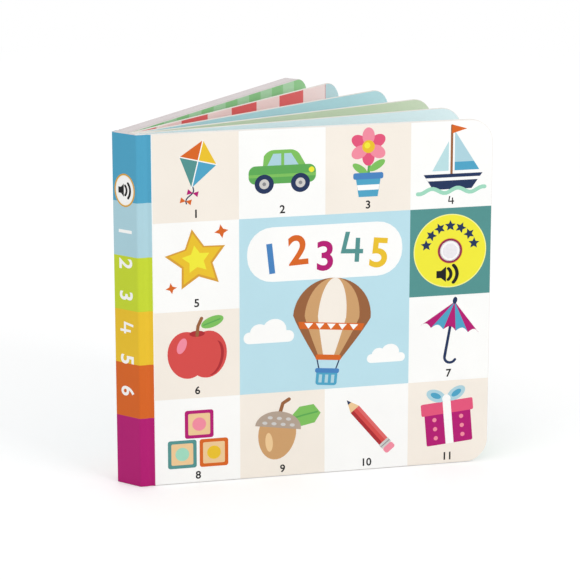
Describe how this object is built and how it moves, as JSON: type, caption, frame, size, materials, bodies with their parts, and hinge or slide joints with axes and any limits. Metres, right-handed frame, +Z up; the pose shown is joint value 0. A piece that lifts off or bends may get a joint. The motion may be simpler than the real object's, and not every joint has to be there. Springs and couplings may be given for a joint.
{
  "type": "interactive board book",
  "caption": "Square board book with thick rounded leaves, hinged covers, a push button on the front cover and a battery sound module in the back cover, standing fanned open.",
  "frame": {"origin": "middle of the footprint, on the surface that the book stands on", "axes": "+Z up along the spine, +X from the spine to the fore-edge of the back cover, +Y out of the back cover's outer face"},
  "size_m": [0.1838, 0.1482, 0.18],
  "materials": {
    "printed_cover": "laminated print, satin",
    "printed_spine": "laminated print in bands of colour, satin",
    "leaves": "printed board, matt",
    "green_page": "printed board, matt",
    "liner": "printed card, matt",
    "board_core": "uncoated board",
    "button_plastic": "moulded, finely gridded",
    "module_plastic": "moulded, fine texture",
    "knob_plastic": "moulded",
    "circuit": "solder mask",
    "chip_resin": "cast resin",
    "cone_film": "pressed film",
    "steel": "plated",
    "magnet": "plated",
    "red_wire": "insulation",
    "black_wire": "insulation"
  },
  "bodies": {
    "spine": {"spine_panel": "printed_spine", "page_block": "leaves"},
    "front_cover": {"front_cover_board": "printed_cover", "cover_liner": "liner", "button_contact_board": "circuit", "button_dome": "steel"},
    "button": {"try_me_button": "button_plastic"},
    "back_cover": {"back_cover_board": "printed_cover", "spacer_frame": "board_core", "last_page": "green_page", "module_housing": "module_plastic", "module_lid": "module_plastic", "speaker_basket": "steel", "speaker_cone": "cone_film", "speaker_magnet": "magnet", "circuit_board": "circuit", "chip_blob": "chip_resin", "switch_body": "steel", "battery_door": "module_plastic", "door_screw": "steel", "contact_minus": "steel", "contact_plus": "steel", "contact_lower_bridge": "steel", "contact_upper_bridge": "steel", "button_cell_1": "steel", "button_cell_2": "steel", "button_cell_3": "steel", "speaker_wire_red": "red_wire", "speaker_wire_black": "black_wire"},
    "switch": {"switch_knob": "knob_plastic"}
  },
  "joints": [
    {"name": "front_cover_hinge", "type": "hinge", "parent": "spine", "child": "front_cover", "pos_m": [-0.09073, 0.05917, 0], "axis": [0, 0, 1], "range_deg": [-49, 8.5]},
    {"name": "back_cover_hinge", "type": "hinge", "parent": "spine", "child": "back_cover", "pos_m": [-0.08948, 0.07291, 0], "axis": [0, 0, 1], "range_deg": [-5, 84]},
    {"name": "button_press", "type": "slide", "parent": "front_cover", "child": "button", "axis": [0.7314, 0.682, 0], "range_m": [0, 0.00035], "stiffness_N_per_m": 500},
    {"name": "switch_slide", "type": "slide", "parent": "back_cover", "child": "switch", "axis": [1, 0, 0], "range_m": [0, 0.003]}
  ]
}
